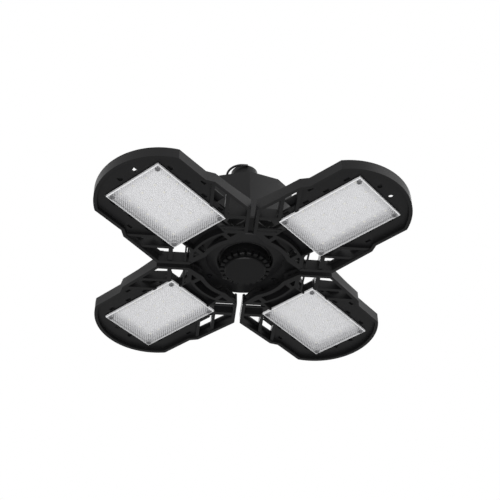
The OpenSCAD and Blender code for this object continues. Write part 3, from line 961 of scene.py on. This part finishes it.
@dataclass
class Leaf(Assembly):
    """One lamp leaf. Its own axes run outward along X, with the lens faces in the plane z = 0."""

    body: Body = field(init=False)
    local: Matrix = field(init=False)
    number: int = 1
    frame_edges: EdgeWork = EdgeWork()
    backing_edges: EdgeWork = EdgeWork(0.15 * MM, shortest=0.3 * MM)
    board_edges: EdgeWork = EdgeWork(0.15 * MM)
    panel_edges: EdgeWork = EdgeWork(0.25 * MM)
    screw_edges: EdgeWork = EdgeWork(0.2 * MM)
    pin_edges: EdgeWork = EdgeWork(0.3 * MM)

    # The field of prisms on the lens plate, in prisms along and across it
    plate: Plate = LENS_PLATE
    cell: float = PRISM_PITCH
    cells: tuple[int, int] = (64, 44)
    corner_cells: int = 4
    prism_depth: float = 0.4 * MM
    face_normal: float = -0.99
    face_within: float = 0.01 * MM

    # The domes on the lamps of the board, which are cut flat at a share of their rise
    lamp_grid: tuple[int, int] = (7, 4)
    lamp_first: Point = (70.5 * MM, -21.85 * MM)
    lamp_pitch: Point = (10.9 * MM, 14.567 * MM)
    lamp_face: float = 6.0 * MM
    dome_radius: float = 1.15 * MM
    dome_rise: float = 0.3 * MM
    dome_cut: float = 0.4
    dome_segments: tuple[int, int] = (16, 8)

    # What closes the floor's slots from behind, in millimetres: strips and webs on both sides,
    # and two blocks behind the holes of the tip
    strips: tuple[tuple[Corner, Corner], ...] = (
        ((66, 30.2, 5.0), (140, 34.2, 5.5)),
        ((100.5, 39.8, 5.0), (107.5, 43.6, 5.5)),
        ((76, 31, 7.6), (93, 40.3, 9.1)),
        ((44.3, 19.8, 5.0), (48.6, 25.2, 6.4)),
    )
    web: tuple[Point, ...] = (
        (35.2, 17), (35.6, 22.5), (36.6, 27), (37.6, 33),
        (40.8, 36.8), (43, 36), (43, 14), (40, 14),
    )
    web_depth: Point = (7.5, 9.0)
    tip_blocks: tuple[tuple[Corner, Corner], ...] = (
        ((146.5, -13, 5.0), (156, -2, 9.4)),
        ((151.6, -2.2, 5.0), (156, 14, 9.4)),
    )

    def __post_init__(self) -> None:
        """Work out the leaf's axes and body from its number."""
        turn = Matrix.Rotation(math.radians(QUARTER_TURN * (self.number - 1)), 4, "Z")
        self.local = FACE_AXES @ turn
        self.body = Body(self.own("leaf"))

    def own(self, name: str) -> str:
        """A name with the leaf's number."""
        return f"{name}_{self.number}"

    def build(self) -> None:
        """Make the leaf's pieces."""
        self.cover("leaf_frame", "leaf_shell", BLACK, self.frame_edges)
        self.backing()
        self.lens()
        self.cover("led_board", "lamp_board", WHITE_BOARD, self.board_edges)
        self.lamps()
        self.cover("solar_panel", "solar_cells", CELL, self.panel_edges)
        self.cover("lens_screws", "ring_screws", RING, self.screw_edges)
        self.cover("hinge_pin", "pin", BLACKENED, self.pin_edges)

    def cover(self, node: str, name: str, finish: Finish, work: EdgeWork) -> None:
        """Stand a copy with rounded edges in for one of the leaf's own solids.

        Args:
            node: The solid's node, without the leaf's number.
            name: The new piece's name, without the leaf's number.
            finish: The piece's finish.
            work: How its edges are rounded.
        """
        self.softened(self.own(node), self.own(name), finish, work)

    def backing(self) -> None:
        """Close the slots of the floor from behind and set the blocks behind the tip."""
        bm = bmesh.new()
        for side in (-1, 1):
            for (r0, t0, z0), (r1, t1, z1) in self.strips:
                left, right = sorted((side * t0, side * t1))
                block(bm, (r0, left, z0), (r1, right, z1))
            prism(bm, [(r, side * t) for r, t in self.web], *self.web_depth)
        for low, high in self.tip_blocks:
            block(bm, low, high)
        self.moulded(self.own("leaf_backing"), bm, self.backing_edges)

    def lens(self) -> None:
        """Replace the flat face of the lens plate by a field of small square prisms."""
        node = self.own("lens")
        bm = self.solid(node, self.frame_edges)
        outer = [
            f for f in bm.faces
            if f.normal.z < self.face_normal and abs(f.calc_center_median().z) < self.face_within
        ]
        bmesh.ops.delete(bm, geom=outer, context="FACES_ONLY")
        rim = [e for e in bm.edges if len(e.link_faces) == 1]
        rim += self._prisms(bm)
        bmesh.ops.triangle_fill(bm, edges=rim, use_beauty=True, normal=(0, 0, -1))
        bmesh.ops.recalc_face_normals(bm, faces=bm.faces)
        for face in bm.faces:
            face.smooth = False
        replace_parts(self.piece(self.own("prism_lens"), bm, LENS), node)

    def _prisms(self, bm: BMesh) -> list[BMEdge]:
        """Add the field of prisms, whose crests lie in the plane of the plate's face.

        Args:
            bm: The lens plate's mesh.

        Returns:
            The edges round the field.
        """
        nx, ny = self.cells
        length = self.plate.end - self.plate.start
        x0 = self.plate.start + (length - nx * self.cell) / 2
        y0 = -ny * self.cell / 2
        verts: dict[tuple[int, int], BMVert] = {}
        for i in range(nx + 1):
            for j in range(ny + 1):
                around = [self._kept(i - a, j - b) for a in (0, 1) for b in (0, 1)]
                if any(around):
                    low = all(around) and (i + j) % 2
                    z = self.prism_depth if low else 0.0
                    verts[i, j] = bm.verts.new((x0 + i * self.cell, y0 + j * self.cell, z))
        faces = []
        for i in range(nx):
            for j in range(ny):
                if self._kept(i, j):
                    a, b, c, d = verts[i, j], verts[i, j + 1], verts[i + 1, j + 1], verts[i + 1, j]
                    halves = ((a, b, d), (b, c, d)) if (i + j) % 2 == 0 else ((a, b, c), (a, c, d))
                    faces += [bm.faces.new(h) for h in halves]
        return list({e for f in faces for e in f.edges if len(e.link_faces) == 1})

    def _kept(self, i: int, j: int) -> bool:
        """Tell whether a cell belongs to the field, which spares the corners for the screws.

        Args:
            i: The cell's number along the plate.
            j: Its number across the plate.

        Returns:
            Whether it does.
        """
        nx, ny = self.cells
        inside = 0 <= i < nx and 0 <= j < ny
        corner = max(min(i, nx - 1 - i), min(j, ny - 1 - j)) < self.corner_cells
        return inside and not corner

    def lamps(self) -> None:
        """Add the domes of yellow silicone on the lamps of the board."""
        bm = bmesh.new()
        radius, rise = self.dome_radius, self.dome_rise
        top = self.lamp_face + self.dome_cut * rise
        for i in range(self.lamp_grid[0]):
            for j in range(self.lamp_grid[1]):
                centre = Vector((
                    self.lamp_first[0] + i * self.lamp_pitch[0],
                    self.lamp_first[1] + j * self.lamp_pitch[1],
                    self.lamp_face,
                ))
                shape = Matrix.Translation(centre) @ Matrix.Diagonal((radius, radius, rise, 1.0))
                made = bmesh.ops.create_uvsphere(
                    bm, u_segments=self.dome_segments[0], v_segments=self.dome_segments[1],
                    radius=1.0, matrix=shape,
                )
                for vert in made["verts"]:
                    vert.co.z = min(vert.co.z, top)
        for face in bm.faces:
            face.smooth = True
        self.piece(self.own("lamp_domes"), bm, GLOW)


def direction(azimuth: float, elevation: float) -> Vector:
    """Find the direction in which something is seen.

    Args:
        azimuth: Its angle round the Z axis, from -Y towards +X.
        elevation: Its angle above the horizon.

    Returns:
        The unit vector towards it.
    """
    a, e = math.radians(azimuth), math.radians(elevation)
    return Vector((math.sin(a) * math.cos(e), -math.cos(a) * math.cos(e), math.sin(e)))


@dataclass(frozen=True)
class Softbox:
    """A square studio lamp that is aimed at the middle of the light. Its power is in watts."""

    name: str
    azimuth: float
    elevation: float
    distance: float
    side: float
    power: float

    def build(self, aim: Vector) -> None:
        """Hang the lamp and turn it.

        Args:
            aim: The point that it is aimed at.
        """
        lamp = bpy.data.lights.new(self.name, "AREA")
        lamp.shape = "SQUARE"
        lamp.size = self.side
        lamp.energy = self.power
        obj = put(self.name, lamp)
        obj.location = aim + self.distance * direction(self.azimuth, self.elevation)
        obj.rotation_euler = (aim - obj.location).to_track_quat("-Z", "Y").to_euler()


@dataclass
class Studio:
    """Camera, lamps, floor and surroundings."""

    # The camera, as the photograph was taken: its sensor is in millimetres, and the focal length,
    # the frame's side and the point where it looks at the aim are in pixels of the photograph
    azimuth: float = 39.2
    elevation: float = -39.91
    roll: float = -0.38
    distance: float = 0.988
    near: float = 0.05
    focal_px: float = 1112.0
    frame_px: float = 500.0
    centre_px: Point = (245.0, 269.3)
    sensor: float = 36.0
    aim: Corner = (0.0, 0.0, -NECK_HEIGHT)

    # The floor, the strength of the light from all round, and the lamps
    floor_z: float = -1.9
    floor_half: float = 14.0
    sky: float = 0.5
    lamps: tuple[Softbox, ...] = (
        Softbox("key", azimuth=30.0, elevation=-56.0, distance=1.7, side=1.3, power=27.0),
        Softbox("side", azimuth=100.0, elevation=16.0, distance=1.2, side=0.8, power=8.2),
        Softbox("top", azimuth=210.0, elevation=58.0, distance=1.3, side=1.0, power=10.0),
    )

    def build(self) -> None:
        """Set the studio up."""
        self.camera()
        self.floor()
        self.surroundings()
        for lamp in self.lamps:
            lamp.build(Vector(self.aim))
        bpy.context.scene.view_settings.view_transform = "Standard"

    def camera(self) -> None:
        """Place the camera as the photograph was taken."""
        data = bpy.data.cameras.new("camera")
        data.sensor_width = self.sensor
        data.lens = self.focal_px * self.sensor / self.frame_px
        middle = self.frame_px / 2
        data.shift_x = (middle - self.centre_px[0]) / self.frame_px
        data.shift_y = (self.centre_px[1] - middle) / self.frame_px
        data.clip_start = self.near
        back = direction(self.azimuth, self.elevation)
        right = (-back).cross(Vector((0, 0, 1))).normalized()
        up = right.cross(-back)
        c, s = math.cos(math.radians(self.roll)), math.sin(math.radians(self.roll))
        axes = Matrix((c * right + s * up, c * up - s * right, back)).transposed()
        place = Vector(self.aim) + self.distance * back
        obj = put("camera", data)
        obj.matrix_world = Matrix.Translation(place) @ axes.to_4x4()
        bpy.context.scene.camera = obj

    def floor(self) -> None:
        """Lay the pale floor well below the light."""
        bm = bmesh.new()
        half = self.floor_half
        corners = ((-half, -half), (half, -half), (half, half), (-half, half))
        bm.faces.new([bm.verts.new((x, y, self.floor_z)) for x, y in corners])
        put_mesh("floor", bm, FLOOR)

    def surroundings(self) -> None:
        """Light the scene from all round, and show white to the camera and in reflections."""
        world = bpy.data.worlds.new("surroundings")
        bpy.context.scene.world = world
        world.use_nodes = True
        nodes = Nodes(world.node_tree)
        camera, glossy, through = (
            nodes.node("ShaderNodeLightPath", output=f"Is {ray} Ray")
            for ray in ("Camera", "Glossy", "Transmission")
        )
        seen = camera.most(glossy).most(through)
        background = world.node_tree.nodes["Background"]
        nodes.feed(background.inputs["Color"], (1.0, 1.0, 1.0, 1.0))
        nodes.feed(background.inputs["Strength"], self.sky + (1.0 - self.sky) * seen)


def main() -> None:
    """Build the light, then the studio round it."""
    logging.basicConfig(level=logging.INFO, format="%(name)s %(message)s")
    Hub().build()
    TwistCap().build()
    HangingLoop().build()
    SwitchButton().build()
    for number in LEAVES:
        Leaf(number=number).build()
    Studio().build()


if __name__ == "__main__":
    main()
